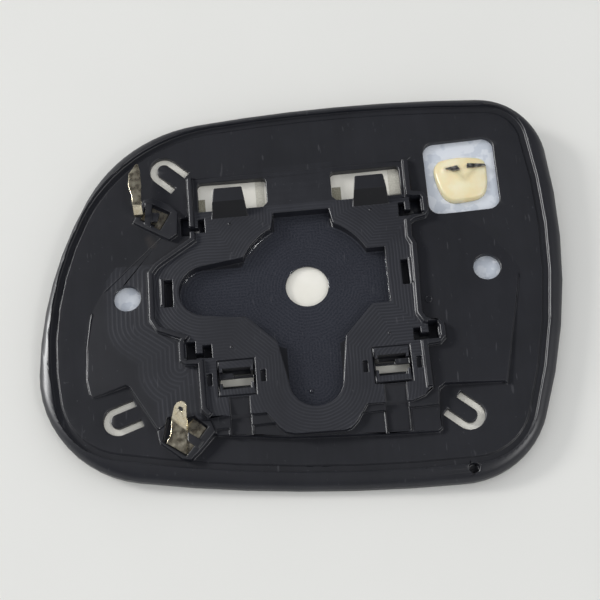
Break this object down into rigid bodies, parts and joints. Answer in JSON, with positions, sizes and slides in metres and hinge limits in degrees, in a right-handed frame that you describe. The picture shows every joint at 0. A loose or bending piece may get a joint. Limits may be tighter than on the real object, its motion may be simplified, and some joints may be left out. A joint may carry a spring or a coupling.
{
  "type": "car door mirror glass",
  "caption": "Convex door mirror pane on a black moulded holder plate with an actuator recess, hook tongues, latch pockets and heater terminals.",
  "frame": {"origin": "axis of the pivot hole at its mouth, in the floor of the actuator recess", "axes": "+Z out of the back along the pivot hole, +X to the long straight end, +Y to the edge with the hooks"},
  "size_m": [0.1836, 0.1423, 0.0147],
  "materials": {
    "mirror_glass": "silvered back, cream grey through the openings",
    "holder_plate": "black moulded plastic, satin, fine tool lines",
    "terminal": "tinned, dull, bright at the folds",
    "potting": "cream sealing compound, semi-gloss",
    "pin": "dull grey"
  },
  "bodies": {
    "root": {"mirror_glass": "mirror_glass", "holder_plate": "holder_plate", "upper_terminal": "terminal", "lower_terminal": "terminal", "potting": "potting", "left_pin": "pin", "right_pin": "pin"}
  },
  "joints": []
}
